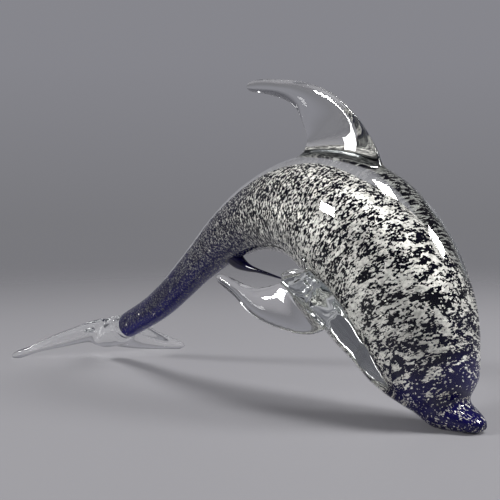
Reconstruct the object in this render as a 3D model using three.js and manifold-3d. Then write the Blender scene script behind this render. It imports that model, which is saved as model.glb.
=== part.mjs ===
// A hot-worked glass dolphin, leaping in an arch. It stands on its beak and on the tips of its
// tail flukes. A cobalt core carries cracked silver leaf under a clear casing, and the fins, the
// chest bit and the flukes are clear bits pulled from the hot body.
// Millimetres, +Z up. The dolphin swims toward +X and its right side faces -Y.

import * as THREE from 'three';
import { mergeVertices } from 'three/addons/utils/BufferGeometryUtils.js';
import Module from 'manifold-3d';

const wasm = await Module();
wasm.setup();

// ---------------------------------------------------------------- driving dimensions

const BODY_LENGTH = 229; // from the tail's end to the end of the head, level
const ARCH_HEIGHT = 92.4; // the body's bent axis at the top of the arch
const TAIL_HEIGHT = 18; // the axis at the tail's end
const HEAD_HEIGHT = 7; // the axis at the end of the head, over the beak
const GIRTH_HIGH = 32.5; // half height of the thickest section, across the bend
const GIRTH_WIDE = 29; // half width of the thickest section

// The outside of the cased body, from tail to head. along is a share of BODY_LENGTH, rise is a
// share of the climb from either end to the top of the arch, and high and wide are shares of
// the thickest section.
const BODY_STATIONS = [
  { along: 0, rise: 0, high: 0.22, wide: 0.25 },
  { along: 0.144, rise: 0.229, high: 0.246, wide: 0.276 },
  { along: 0.288, rise: 0.564, high: 0.308, wide: 0.345 },
  { along: 0.397, rise: 0.8, high: 0.417, wide: 0.48 },
  { along: 0.515, rise: 0.959, high: 0.592, wide: 0.655 },
  { along: 0.642, rise: 1, high: 0.815, wide: 0.87 },
  { along: 0.76, rise: 0.902, high: 1, wide: 1 },
  { along: 0.852, rise: 0.714, high: 0.985, wide: 0.983 },
  { along: 0.913, rise: 0.48, high: 0.89, wide: 0.914 },
  { along: 0.952, rise: 0.258, high: 0.74, wide: 0.776 },
  { along: 0.983, rise: 0.093, high: 0.52, wide: 0.586 },
  { along: 1, rise: 0, high: 0.215, wide: 0.31 },
];
const CASED_SHARE = 0.95; // share of the body's length under the casing, from the tail

const GAP = 0.3; // clearance between fused pieces
const LEAF = 0.4; // silver leaf with its glass skin
const CASING_BELLY = 1.6; // clear glass along the middle of the belly
const CASING_BACK = 18.5; // clear glass along the middle of the back, at the thickest section
const CASING_END = 1.8; // clear glass along the back where the casing thins out on the head
const CASING_THINS_FROM = 0.84; // share of the body's length where it starts to thin
const CASING_ROUND = 0.6; // how far the thick back reaches round the flanks: less is further

// The beak reaches forward from inside the head: x from the end of the head, height over the
// surface that it rests on, half height and half width.
const BEAK_STATIONS = [
  { x: -14, z: 11.0, high: 6.0, wide: 9.0 },
  { x: -3, z: 7.2, high: 7.8, wide: 12.0 },
  { x: 6, z: 5.6, high: 6.4, wide: 10.5 },
  { x: 12, z: 4.2, high: 4.6, wide: 8.0 },
  { x: 16, z: 3.2, high: 2.8, wide: 5.2 },
  { x: 18, z: 2.8, high: 1.2, wide: 2.4 },
];

// The chest bit thickens the belly side from the chin to behind the pectoral fins.
const CHEST_FROM = 0.665; // share of the body's length where it leaves the belly
const CHEST_FULL = 0.7; // share where it is thickest, at the pectoral fins
const CHEST_LEAN = 12; // how far its front edge juts back toward the tail
const CHEST_UPRIGHT = 0.8; // share where it no longer leans
const CHEST_TO = 1; // share where it has thinned to nothing under the chin
const CHEST_THICK = 11; // at its thickest
const CHEST_SPREAD = 72; // degrees from the belly line to its fading edge
const CHEST_EDGE = 20; // degrees over which that edge fades
const CHEST_ROUNDING = 0.05; // share by which its front edge starts later at the sides
const CHEST_THINNING = 2.6; // how late it thins toward the chin: more is later

// Fins are pressed blades. Each station gives a point of the leading edge, a point of the
// trailing edge and the thickness between the two faces. The dorsal fin's points are x and z
// from the place on the back where its leading edge rises.
const DORSAL_SHARE = 0.68; // share of the body's length where that place is
const DORSAL = [
  { lead: [-3, -5], trail: [-53, -5], thick: 17 },
  { lead: [-4, 6], trail: [-51, 7], thick: 13 },
  { lead: [-9.5, 15.5], trail: [-48.5, 14], thick: 8 },
  { lead: [-18, 25.5], trail: [-51.5, 22], thick: 5.5 },
  { lead: [-32, 36], trail: [-56, 29.5], thick: 5 },
  { lead: [-50, 42.3], trail: [-63.5, 34], thick: 5 },
  { lead: [-66, 44.3], trail: [-73, 36.6], thick: 5.5 },
  { lead: [-80, 45], trail: [-81, 38], thick: 6 },
  { lead: [-87, 44.2], trail: [-87.2, 39.2], thick: 5.4 },
  { lead: [-89.6, 42.6], trail: [-89.6, 40.6], thick: 2.4 },
];

// The pectoral fins lie in planes that lean out from the chest. Their outline is drawn from the
// middle of the root: first away from the root line, then forward along it.
const PECTORAL_SHARE = 0.74; // share of the body's length where the root is
const PECTORAL_ANGLE = 130; // degrees round the body from the back to the root
const PECTORAL_OUT = 8; // from the casing out to the middle of the root
const PECTORAL_PITCH = 35; // degrees that the root line dips toward the head
const PECTORAL_SPLAY = 25; // degrees that the blade leans outward
const PECTORAL = [
  { lead: [-5, 12], trail: [-5, -5], thick: 9 },
  { lead: [3, 15.2], trail: [0, -15], thick: 7 },
  { lead: [12, 10.5], trail: [6, -19.5], thick: 4.4 },
  { lead: [18.5, 0], trail: [11, -23], thick: 4 },
  { lead: [23, -10], trail: [15, -27], thick: 4 },
  { lead: [25.3, -20], trail: [17.4, -31.5], thick: 4.8 },
  { lead: [25.6, -32], trail: [19.8, -38], thick: 5.4 },
  { lead: [26.8, -42.5], trail: [22.6, -45], thick: 4.6 },
  { lead: [26.4, -46], trail: [24.8, -47], thick: 2 },
];

// The flukes spread from the tail knuckle, the left one held further forward. Their points are x
// from the tail's end, y, and the height over the surface that the tips rest on.
const FLUKE_RIGHT = [
  { lead: [0, 3, 22], trail: [-20, 3, 8], thick: 8 },
  { lead: [-6, -10, 23], trail: [-27, -7, 8], thick: 8 },
  { lead: [-17, -24, 17.5], trail: [-35, -20, 5.5], thick: 6.5 },
  { lead: [-30, -36, 10.5], trail: [-41, -33, 3.2], thick: 5 },
  { lead: [-42, -44.8, 3.8], trail: [-46, -43.5, 0.2], thick: 4.4 },
  { lead: [-46, -47, 1.8], trail: [-47.4, -46.4, 0.2], thick: 2.4 },
];
const FLUKE_LEFT = [
  { lead: [0, -3, 22], trail: [-20, -3, 8], thick: 8 },
  { lead: [4, 11, 19], trail: [-22, 7, 4.5], thick: 7.5 },
  { lead: [4, 24, 12.5], trail: [-16, 20, 2], thick: 6 },
  { lead: [3.5, 35, 7.5], trail: [-9, 33, 0.8], thick: 4.8 },
  { lead: [1.5, 44, 3.6], trail: [-3.5, 43, 0.4], thick: 4 },
  { lead: [0, 47, 2], trail: [-2, 46.6, 0.4], thick: 2 },
];

// The tail knuckle carries on from the tail's end: centre, half height and half width.
const KNUCKLE_STATIONS = [
  { x: -3, z: -1.4, high: 7.6, wide: 8.4 },
  { x: -10, z: -4.8, high: 7.4, wide: 9.2 },
  { x: -17, z: -8, high: 5.6, wide: 8.4 },
  { x: -23, z: -10.8, high: 2.6, wide: 5 },
];

// The belly fin is a spike drawn forward from the belly. Its centres are x and z from the place
// on the belly where it starts, with the radius there.
const BELLY_FIN_SHARE = 0.37; // share of the body's length where that place is
const BELLY_FIN_STATIONS = [
  { x: -8, z: 3, radius: 5 },
  { x: -1, z: -2, radius: 4 },
  { x: 6, z: -4.6, radius: 2.2 },
  { x: 13, z: -5.7, radius: 1.2 },
  { x: 21, z: -6.9, radius: 0.8 },
  { x: 32, z: -8.7, radius: 0.5 },
];

const BODY_STEPS = 36; // rings along the whole body
const BODY_SIDES = 24; // corners of each ring
const FIN_STEPS = 13; // rings along a fin
const FIN_SIDES = 12; // corners of each ring of a fin
const SPINDLE_STEPS = 12; // rings along the beak, the knuckle and the belly fin
const SPINDLE_SIDES = 16; // corners of each of those rings

// ---------------------------------------------------------------- solids

function toSolid(geometry) {
  const bare = geometry.clone();
  bare.deleteAttribute('normal');
  bare.deleteAttribute('uv');
  const merged = mergeVertices(bare, 1e-4);
  const mesh = new wasm.Mesh({
    numProp: 3,
    vertProperties: new Float32Array(merged.attributes.position.array),
    triVerts: new Uint32Array(merged.index.array),
  });
  return new wasm.Manifold(mesh);
}

function toGeometry(solid) {
  const mesh = solid.getMesh();
  const geometry = new THREE.BufferGeometry();
  geometry.setAttribute('position', new THREE.BufferAttribute(mesh.vertProperties, 3));
  geometry.setIndex(new THREE.BufferAttribute(mesh.triVerts, 1));
  geometry.computeVertexNormals();
  return geometry;
}

// Joins rings of equal length into one closed skin, with a fan over each end.
function loft(rings) {
  const sides = rings[0].length;
  const points = rings.flat();
  const faces = [];
  for (let i = 0; i < rings.length - 1; i += 1) {
    for (let j = 0; j < sides; j += 1) {
      const a = i * sides + j;
      const b = i * sides + ((j + 1) % sides);
      faces.push(a, b, b + sides, a, b + sides, a + sides);
    }
  }
  const last = (rings.length - 1) * sides;
  const ends = [{ ring: rings[0], start: 0, first: 1, second: 0 },
    { ring: rings.at(-1), start: last, first: 0, second: 1 }];
  for (const end of ends) {
    const centre = new THREE.Vector3();
    end.ring.forEach((point) => centre.addScaledVector(point, 1 / sides));
    points.push(centre);
    for (let j = 0; j < sides; j += 1) {
      faces.push(
        points.length - 1,
        end.start + ((j + end.first) % sides),
        end.start + ((j + end.second) % sides),
      );
    }
  }
  const geometry = new THREE.BufferGeometry().setFromPoints(points);
  geometry.setIndex(faces);
  return geometry;
}

function smooth(low, high, value) {
  return THREE.MathUtils.smoothstep(value, low, high);
}

// A closed skin whose volume is positive, whichever way its rings ran.
function loftSolid(rings) {
  const solid = toSolid(loft(rings));
  return solid.volume() > 0 ? solid : toSolid(loft([...rings].reverse()));
}

// All of space on one side of a plane across axis 0, 1 or 2, as a box far larger than the piece.
function halfSpace(direction, sign, from) {
  const size = 1000;
  const box = new THREE.BoxGeometry(size, size, size);
  const shift = [0, 0, 0];
  shift[direction] = sign * (size / 2 + from);
  return toSolid(box.translate(...shift));
}

// ---------------------------------------------------------------- the bent body

const topStation = BODY_STATIONS.findIndex((s) => s.rise === 1);
const axisPoints = BODY_STATIONS.map((s, index) => {
  const foot = index < topStation ? TAIL_HEIGHT : HEAD_HEIGHT;
  return new THREE.Vector3(s.along * BODY_LENGTH, 0, foot + s.rise * (ARCH_HEIGHT - foot));
});
const axis = new THREE.CatmullRomCurve3(axisPoints, false, 'centripetal');
const tailEnd = axisPoints[0];
const headEnd = axisPoints.at(-1);
const bodyLength = axis.getLength(); // along the bend
const sizes = new THREE.SplineCurve(
  BODY_STATIONS.map((s) => new THREE.Vector2(s.high * GIRTH_HIGH, s.wide * GIRTH_WIDE)),
);
const casedLength = bodyLength * CASED_SHARE;

// The section at a distance from the tail: centre, the side toward the back, and half sizes.
function sectionAt(distance) {
  const t = axis.getUtoTmapping(distance / bodyLength);
  const along = axis.getTangent(t);
  const size = sizes.getPoint(t);
  return {
    centre: axis.getPoint(t),
    back: new THREE.Vector3(-along.z, 0, along.x),
    high: size.x,
    wide: size.y,
  };
}

// A point at an angle round the body, that far out from its outside.
function onBody(distance, angle, out) {
  const { centre, back, high, wide } = sectionAt(distance);
  const side = new THREE.Vector3(0, -(wide + out) * Math.sin(angle), 0);
  return centre.addScaledVector(back, (high + out) * Math.cos(angle)).add(side);
}

// A ring of the body. reachAt gives how far the skin stands out of the body's own outside,
// for an angle that is 0 at the back and 180 degrees at the belly, and leanAt how far a point
// is pushed along the body toward the tail.
function bodyRing(distance, reachAt, leanAt = () => 0) {
  const { back } = sectionAt(distance);
  const toTail = new THREE.Vector3(-back.z, 0, back.x);
  const ring = [];
  for (let j = 0; j < BODY_SIDES; j += 1) {
    const angle = (2 * Math.PI * j) / BODY_SIDES;
    const point = onBody(distance, angle, reachAt(angle, distance));
    ring.push(point.addScaledVector(toTail, leanAt(angle, distance)));
  }
  return ring;
}

// Rings at the two ends and at the shared steps between them, so that nested skins run alike.
function bodyRings(from, to, reachAt, leanAt) {
  const step = bodyLength / BODY_STEPS;
  const distances = [from];
  for (let i = 1; i < BODY_STEPS; i += 1) {
    const distance = i * step;
    if (distance > from + step / 4 && distance < to - step / 4) distances.push(distance);
  }
  distances.push(to);
  return distances.map((distance) => bodyRing(distance, reachAt, leanAt));
}

// Depth below the outside of the body where the casing ends and the leaf begins.
function casingThickness(angle, distance) {
  const fade = 1 - smooth(CASING_THINS_FROM, CASED_SHARE, distance / bodyLength);
  const full = CASING_BACK * (sectionAt(distance).high / GIRTH_HIGH);
  const back = CASING_END + (full - CASING_END) * fade;
  const share = ((1 + Math.cos(angle)) / 2) ** CASING_ROUND;
  return CASING_BELLY + (back - CASING_BELLY) * share;
}

const casingInside = (angle, distance) => -casingThickness(angle, distance);
const leafOutside = (angle, distance) => casingInside(angle, distance) - GAP;
const leafInside = (angle, distance) => leafOutside(angle, distance) - LEAF;
const coreOutside = (angle, distance) => leafInside(angle, distance) - GAP;

const overrun = 2; // cutters and joined pieces pass this far through their neighbours

// Rings of the body with a copy of each end ring pushed outward along the bend.
function pushedRings(from, to, reachAt, by) {
  const rings = bodyRings(from, to, reachAt);
  const push = (ring, end, inner) => {
    const step = sectionAt(end).centre.sub(sectionAt(inner).centre).setLength(by);
    return ring.map((point) => point.clone().add(step));
  };
  const start = push(rings[0], from, from + overrun);
  return [start, ...rings, push(rings.at(-1), to, to - overrun)];
}

const bodyCutter = loftSolid(pushedRings(0, bodyLength, () => GAP, GAP));

function tube(outside, inside, from, to) {
  const shell = loftSolid(bodyRings(from, to, outside));
  return shell.subtract(loftSolid(pushedRings(from, to, inside, overrun)));
}

const clearCasing = tube(() => 0, casingInside, 0, casedLength);
const silverLeaf = tube(leafOutside, leafInside, GAP, casedLength - GAP);

// ---------------------------------------------------------------- the core and its beak

function ellipseRing(centre, up, sideways, sides) {
  const ring = [];
  for (let j = 0; j < sides; j += 1) {
    const angle = (2 * Math.PI * j) / sides;
    ring.push(centre.clone()
      .addScaledVector(up, Math.cos(angle))
      .addScaledVector(sideways, Math.sin(angle)));
  }
  return ring;
}

// Rings across a curve in the plane Y = 0, through stations of centre and half sizes that are
// counted from an anchor and grown all round.
function bentSpindle(stations, anchor, grow = 0) {
  const centres = stations.map((s) => new THREE.Vector3(anchor.x + s.x, 0, anchor.z + s.z));
  const path = new THREE.CatmullRomCurve3(centres);
  const halves = stations.map((s) => new THREE.Vector2(s.high + grow, s.wide + grow));
  const sections = new THREE.SplineCurve(halves);
  const rings = [];
  for (let i = 0; i <= SPINDLE_STEPS; i += 1) {
    const t = i / SPINDLE_STEPS;
    const along = path.getTangent(t);
    const size = sections.getPoint(t);
    const up = new THREE.Vector3(-along.z, 0, along.x).multiplyScalar(size.x);
    rings.push(ellipseRing(path.getPoint(t), up, new THREE.Vector3(0, size.y, 0), SPINDLE_SIDES));
  }
  return loftSolid(rings);
}

const beakAnchor = new THREE.Vector3(headEnd.x, 0, 0);
const beak = bentSpindle(BEAK_STATIONS, beakAnchor);
const coredRings = bodyRings(GAP, casedLength + GAP, coreOutside);
const insideHead = bodyRing(casedLength + GAP + overrun, coreOutside);
const coredBody = loftSolid([...coredRings, insideHead]);
const bareHead = loftSolid(bodyRings(casedLength + GAP, bodyLength, () => 0));
const cobaltCore = coredBody.add(bareHead).add(beak);

// ---------------------------------------------------------------- the chest bit and the belly spike

const sunk = 2.5; // how far the chest bit's skin dives under the body's outside past its edge

function chestReach(angle, distance) {
  const share = distance / bodyLength;
  const offBelly = Math.abs(180 - THREE.MathUtils.radToDeg(angle));
  const rounding = CHEST_ROUNDING * (offBelly / CHEST_SPREAD) ** 2;
  const swell = smooth(CHEST_FROM + rounding, CHEST_FULL, share);
  const thinning = Math.max(0, (share - CHEST_FULL) / (CHEST_TO - CHEST_FULL));
  const fade = 1 - thinning ** CHEST_THINNING;
  const across = 1 - smooth(CHEST_SPREAD - CHEST_EDGE, CHEST_SPREAD, offBelly);
  return (CHEST_THICK + sunk) * swell * fade * across - sunk;
}

// The front edge leans toward the tail, more where the bit stands further out of the body.
function chestLean(angle, distance) {
  const stand = smooth(0, CHEST_THICK, chestReach(angle, distance));
  return CHEST_LEAN * stand * (1 - smooth(CHEST_FULL, CHEST_UPRIGHT, distance / bodyLength));
}

// The rings of the chest bit, grown outward and over its front edge by the same amount.
function chestRings(grow) {
  const reach = (angle, distance) => chestReach(angle, distance) + grow;
  return bodyRings(chestFrom, chestTo, reach, (a, d) => chestLean(a, d) + grow);
}

const chestFrom = bodyLength * CHEST_FROM;
const chestTo = bodyLength * CHEST_TO;
const chestSkin = loftSolid(chestRings(0));
const chestCutter = loftSolid(chestRings(GAP));
const beakCutter = bentSpindle(BEAK_STATIONS, beakAnchor, GAP);
const chestKeel = chestSkin.subtract(bodyCutter).subtract(beakCutter);

const spikeStations = BELLY_FIN_STATIONS.map((s) => ({ ...s, high: s.radius, wide: s.radius }));
const spikeAnchor = onBody(bodyLength * BELLY_FIN_SHARE, Math.PI, 0);
const spike = bentSpindle(spikeStations, spikeAnchor);
const bellyFin = spike.subtract(bodyCutter).subtract(chestCutter);

// ---------------------------------------------------------------- fins and flukes

// A pressed blade between a leading and a trailing edge. place turns an edge point into space,
// and normal is the direction across the faces.
function blade(stations, place, normal) {
  const curve = (pick) => new THREE.CatmullRomCurve3(stations.map((s) => place(pick(s))));
  const lead = curve((s) => s.lead);
  const trail = curve((s) => s.trail);
  const thick = new THREE.SplineCurve(stations.map((s) => new THREE.Vector2(s.thick, 0)));
  const rings = [];
  for (let i = 0; i <= FIN_STEPS; i += 1) {
    const t = i / FIN_STEPS;
    const front = lead.getPoint(t);
    const centre = front.clone().add(trail.getPoint(t)).multiplyScalar(0.5);
    const half = normal.clone().multiplyScalar(thick.getPoint(t).x / 2);
    rings.push(ellipseRing(centre, front.sub(centre), half, FIN_SIDES));
  }
  return loftSolid(rings);
}

const dorsalRoot = onBody(bodyLength * DORSAL_SHARE, 0, 0);
const inMidPlane = ([x, z]) => new THREE.Vector3(dorsalRoot.x + x, 0, dorsalRoot.z + z);
const dorsalFin = blade(DORSAL, inMidPlane, new THREE.Vector3(0, 1, 0)).subtract(bodyCutter);

function pectoralFin(side) {
  const pitch = THREE.MathUtils.degToRad(PECTORAL_PITCH);
  const splay = THREE.MathUtils.degToRad(PECTORAL_SPLAY);
  const forward = new THREE.Vector3(Math.cos(pitch), 0, -Math.sin(pitch));
  const down = new THREE.Vector3(-Math.sin(pitch), 0, -Math.cos(pitch));
  const away = down.multiplyScalar(Math.cos(splay));
  away.y = side * Math.sin(splay);
  const angle = -side * THREE.MathUtils.degToRad(PECTORAL_ANGLE);
  const root = onBody(bodyLength * PECTORAL_SHARE, angle, PECTORAL_OUT);
  const place = ([u, v]) => root.clone().addScaledVector(away, u).addScaledVector(forward, v);
  const normal = away.clone().cross(forward);
  return blade(PECTORAL, place, normal).subtract(bodyCutter).subtract(chestCutter);
}

const knuckle = bentSpindle(KNUCKLE_STATIONS, tailEnd).subtract(bodyCutter);
const knuckleCutter = bentSpindle(KNUCKLE_STATIONS, tailEnd, GAP);

// The flukes meet along the middle of the tail, each on its own side of it.
function fluke(stations, side) {
  const place = ([x, y, z]) => new THREE.Vector3(tailEnd.x + x, y, z);
  const root = stations[1];
  const chord = place(root.lead).sub(place(root.trail));
  const reach = place(stations.at(-1).lead).sub(place(root.lead));
  const normal = chord.cross(reach).normalize();
  const whole = blade(stations, place, normal).subtract(bodyCutter).subtract(knuckleCutter);
  return whole.subtract(halfSpace(1, -side, -GAP / 2));
}

// ---------------------------------------------------------------- the assembly

// The beak and the fluke tips are flattened where the figurine stands.
const floor = halfSpace(2, -1, 0);

const CLEAR = { color: 0xdde3e2, roughness: 0.03, metalness: 0 };
const COBALT = { color: 0x15106a, roughness: 0.05, metalness: 0 };
const SILVER = { color: 0xc9c4b8, roughness: 0.3, metalness: 0.9 };

const pieces = [
  ['cobalt_core', cobaltCore, COBALT],
  ['silver_leaf', silverLeaf, SILVER],
  ['clear_casing', clearCasing, CLEAR],
  ['chest_keel', chestKeel, CLEAR],
  ['dorsal_fin', dorsalFin, CLEAR],
  ['pectoral_fin_right', pectoralFin(-1), CLEAR],
  ['pectoral_fin_left', pectoralFin(1), CLEAR],
  ['belly_fin', bellyFin, COBALT],
  ['tail_knuckle', knuckle, CLEAR],
  ['fluke_right', fluke(FLUKE_RIGHT, -1), CLEAR],
  ['fluke_left', fluke(FLUKE_LEFT, 1), CLEAR],
];

const figurine = new THREE.Group();
for (const [name, solid, look] of pieces) {
  const mesh = new THREE.Mesh(toGeometry(solid.subtract(floor)), new THREE.MeshStandardMaterial(look));
  mesh.name = name;
  figurine.add(mesh);
}

// The origin is the middle of the footprint, on the surface that the figurine stands on.
const extent = new THREE.Box3().setFromObject(figurine);
const middle = extent.getCenter(new THREE.Vector3());
figurine.position.set(-middle.x, -middle.y, 0);

export default figurine;
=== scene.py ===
# %% [markdown]
# # A hot-worked glass dolphin
#
# The real thing is made at a furnace. A worker gathers cobalt glass, rolls it over silver leaf,
# dips it in clear glass, bends it, and pulls the fins out of hot clear bits. Here the same
# order is followed: a blue core, the leaf on it, and one clear skin over everything.
#
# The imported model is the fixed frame. Every size below agrees with it, in metres.

# %% Load the frame
import math

import bmesh
import bpy
import numpy as np
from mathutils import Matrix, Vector
from mathutils.bvhtree import BVHTree


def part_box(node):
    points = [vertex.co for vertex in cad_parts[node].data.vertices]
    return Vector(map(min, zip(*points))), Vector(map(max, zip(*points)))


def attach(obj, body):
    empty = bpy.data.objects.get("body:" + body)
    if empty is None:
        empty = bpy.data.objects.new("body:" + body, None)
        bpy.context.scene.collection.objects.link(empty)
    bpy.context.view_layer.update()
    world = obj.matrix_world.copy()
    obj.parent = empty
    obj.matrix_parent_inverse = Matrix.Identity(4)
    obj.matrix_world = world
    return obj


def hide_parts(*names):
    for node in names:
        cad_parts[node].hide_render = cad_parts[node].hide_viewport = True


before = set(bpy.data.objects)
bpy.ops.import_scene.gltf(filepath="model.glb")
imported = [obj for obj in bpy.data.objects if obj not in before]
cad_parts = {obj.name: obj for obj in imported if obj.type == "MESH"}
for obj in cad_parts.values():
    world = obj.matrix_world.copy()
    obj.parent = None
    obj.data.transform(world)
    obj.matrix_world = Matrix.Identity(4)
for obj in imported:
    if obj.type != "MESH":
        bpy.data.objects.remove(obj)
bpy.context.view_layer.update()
MM = 0.001

# %% Helpers for objects and nodes
def placed(name, data):
    """An object that shows this data, in the scene."""
    made = bpy.data.objects.new(name, data)
    bpy.context.scene.collection.objects.link(made)
    return made


def node(tree, kind, **inputs):
    """A new node. Its inputs are set by name, with _ for a space."""
    made = tree.nodes.new(kind)
    for name, value in inputs.items():
        made.inputs[name.replace("_", " ")].default_value = value
    return made


def fill_ramp(ramp, marks):
    """Gives a ramp its marks, each a place from 0 to 1 and a colour. The ends are there already."""
    for index, (place, colour) in enumerate(marks):
        if index in (0, len(marks) - 1):
            mark = ramp.elements[0 if index == 0 else -1]
        else:
            mark = ramp.elements.new(place)
        mark.position, mark.color = place, (*colour, 1)


# %% [markdown]
# ## Camera, floor and light
#
# The camera stands a little under half a metre from the beak and looks slightly down. The floor
# is a pale disc that fades out at its rim, so that the room behind it shows at any angle. Glass
# is drawn by what it mirrors and bends, so the room is bright at eye height and dark above.

# %% Camera
CAMERA_TURN, CAMERA_DOWN = math.radians(45.6), math.radians(5)
CAMERA_PLACE = Vector((0.4052, -0.3919, 0.119))
CAMERA_LENS, CAMERA_SENSOR = 79.2, 36
CAMERA_NEAR, CAMERA_FAR = 0.01, 50


def add_camera():
    data = bpy.data.cameras.new("camera")
    data.lens, data.sensor_width = CAMERA_LENS, CAMERA_SENSOR
    data.clip_start, data.clip_end = CAMERA_NEAR, CAMERA_FAR
    camera = placed("camera", data)
    camera.location = CAMERA_PLACE
    look = Vector((-math.sin(CAMERA_TURN) * math.cos(CAMERA_DOWN),
                   math.cos(CAMERA_TURN) * math.cos(CAMERA_DOWN),
                   -math.sin(CAMERA_DOWN)))
    camera.rotation_euler = look.to_track_quat("-Z", "Y").to_euler()
    bpy.context.scene.camera = camera


add_camera()

# %% Floor
FLOOR_RADIUS = 1.2
FLOOR_FADE = (0.22, 0.75)
FLOOR_COLOUR = (0.30, 0.295, 0.31)
FLOOR_ROUGH, FLOOR_GLOSS = 0.6, 0.3


def add_floor():
    build = bmesh.new()
    bmesh.ops.create_circle(build, cap_ends=True, radius=FLOOR_RADIUS, segments=96)
    mesh = bpy.data.meshes.new("floor")
    build.to_mesh(mesh)
    build.free()
    floor = placed("floor", mesh)
    material = bpy.data.materials.new("floor")
    material.use_nodes = True
    tree = material.node_tree
    shader = tree.nodes["Principled BSDF"]
    shader.inputs["Base Color"].default_value = (*FLOOR_COLOUR, 1)
    shader.inputs["Roughness"].default_value = FLOOR_ROUGH
    shader.inputs["Specular IOR Level"].default_value = FLOOR_GLOSS
    place = node(tree, "ShaderNodeTexCoord")
    reach = node(tree, "ShaderNodeVectorMath")
    reach.operation = "LENGTH"
    tree.links.new(place.outputs["Object"], reach.inputs[0])
    fade = node(tree, "ShaderNodeMapRange", From_Min=FLOOR_FADE[0], From_Max=FLOOR_FADE[1],
                To_Min=1.0, To_Max=0.0)
    fade.interpolation_type = "SMOOTHSTEP"
    tree.links.new(reach.outputs["Value"], fade.inputs["Value"])
    tree.links.new(fade.outputs["Result"], shader.inputs["Alpha"])
    mesh.materials.append(material)


add_floor()

# %% Room
# Colours of the room, from straight down at 0, past eye height at 0.5, to straight up at 1
ROOM_BANDS = (
    (0.0, (0.165, 0.16, 0.175)), (0.47, (0.19, 0.19, 0.205)), (0.54, (0.235, 0.235, 0.26)),
    (0.62, (0.25, 0.25, 0.275)), (0.72, (0.10, 0.10, 0.115)), (1.0, (0.10, 0.10, 0.115)),
)


def add_room():
    world = bpy.data.worlds.new("room")
    bpy.context.scene.world = world
    world.use_nodes = True
    tree = world.node_tree
    background = tree.nodes["Background"]
    place = node(tree, "ShaderNodeTexCoord")
    split = node(tree, "ShaderNodeSeparateXYZ")
    height = node(tree, "ShaderNodeMapRange", From_Min=-1.0, From_Max=1.0)
    bands = node(tree, "ShaderNodeValToRGB")
    fill_ramp(bands.color_ramp, ROOM_BANDS)
    tree.links.new(place.outputs["Generated"], split.inputs[0])
    tree.links.new(split.outputs["Z"], height.inputs["Value"])
    tree.links.new(height.outputs["Result"], bands.inputs["Fac"])
    tree.links.new(bands.outputs["Color"], background.inputs["Color"])


add_room()

# %% Lights
# Name, turn and rise of its direction in degrees, distance, width and height in m, power in W
LIGHTS = (
    ("window", -28, 30, 1.0, 0.22, 0.19, 5.0),
    ("back_window", 133, 38, 1.0, 0.27, 0.24, 4.2),
    ("ceiling", 145, 74, 1.2, 0.32, 0.28, 10.0),
)
LIT_POINT = Vector((0.03, 0, 0.07))


def add_light(name, turn, rise, distance, wide, high, watts):
    turn, rise = math.radians(turn), math.radians(rise)
    way = Vector((math.sin(turn) * math.cos(rise), -math.cos(turn) * math.cos(rise), math.sin(rise)))
    data = bpy.data.lights.new(name, "AREA")
    data.shape, data.size, data.size_y, data.energy = "RECTANGLE", wide, high, watts
    light = placed(name, data)
    light.location = LIT_POINT + way * distance
    light.rotation_euler = (-way).to_track_quat("-Z", "Y").to_euler()


for light in LIGHTS:
    add_light(*light)

settings = bpy.context.scene
settings.view_settings.view_transform = "Standard"
settings.cycles.max_bounces = 24
settings.cycles.transmission_bounces = 20
settings.cycles.glossy_bounces = 12
settings.cycles.sample_clamp_indirect = 6

# %% [markdown]
# ## Curves
#
# The body is bent, so its sections hang on a curve. A Catmull-Rom curve passes through every
# point that it is given, which suits a shape described by a few measured stations. The
# centripetal kind spaces its knots by the root of the distance between points, and so never
# loops where two points lie close together.

# %% A curve through points
def curve_pieces(count, share):
    """Which piece of a curve through count points each share is on, and how far along it."""
    place = np.clip(np.asarray(share, float), 0, 1) * (count - 1)
    index = np.minimum(place.astype(int), count - 2)
    return index, (place - index)[:, None]


def cubic(p1, p2, t1, t2, w):
    """Place and slope at w on the cubic from p1 to p2 that has the slopes t1 and t2 there."""
    c2 = 3 * (p2 - p1) - 2 * t1 - t2
    c3 = 2 * (p1 - p2) + t1 + t2
    return p1 + t1 * w + c2 * w**2 + c3 * w**3, t1 + 2 * c2 * w + 3 * c3 * w * w


def through(points, share):
    """Centripetal curve through points, at shares of the way along, and its direction."""
    points = np.asarray(points, float)
    index, w = curve_pieces(len(points), share)
    ends = np.vstack([2 * points[0] - points[1], points, 2 * points[-1] - points[-2]])
    p0, p1, p2, p3 = (ends[index + k] for k in range(4))
    d0, d1, d2 = (
        np.maximum(np.linalg.norm(b - a, axis=1), 1e-9)[:, None] ** 0.5
        for a, b in ((p0, p1), (p1, p2), (p2, p3))
    )
    t1 = ((p1 - p0) / d0 - (p2 - p0) / (d0 + d1) + (p2 - p1) / d1) * d1
    t2 = ((p2 - p1) / d1 - (p3 - p1) / (d1 + d2) + (p3 - p2) / d2) * d1
    place, along = cubic(p1, p2, t1, t2, w)
    return place, along / np.linalg.norm(along, axis=1)[:, None]


def between(values, share):
    """Evenly spaced curve through sizes, which may be rows of several numbers."""
    values = np.asarray(values, float)
    index, w = curve_pieces(len(values), share)
    before, after = np.maximum(index - 1, 0), np.minimum(index + 2, len(values) - 1)
    p1, p2 = values[index], values[index + 1]
    return cubic(p1, p2, (p2 - values[before]) / 2, (values[after] - p1) / 2, w)[0]


def on_middle_plane(stations):
    """Points where y is 0, from rows that start with x and z."""
    return np.stack([stations[:, 0], 0 * stations[:, 0], stations[:, 1]], 1)


def quarter_turn(along):
    """A quarter turn in the middle plane. Forward turns to the back, and the back to the tail."""
    return np.stack([-along[:, 2], 0 * along[:, 0], along[:, 0]], 1)


# %% [markdown]
# ## The body's stations
#
# Each row is a share of the length, a share of the climb to the top of the arch, and the half
# height and half width as shares of the thickest section.

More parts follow.
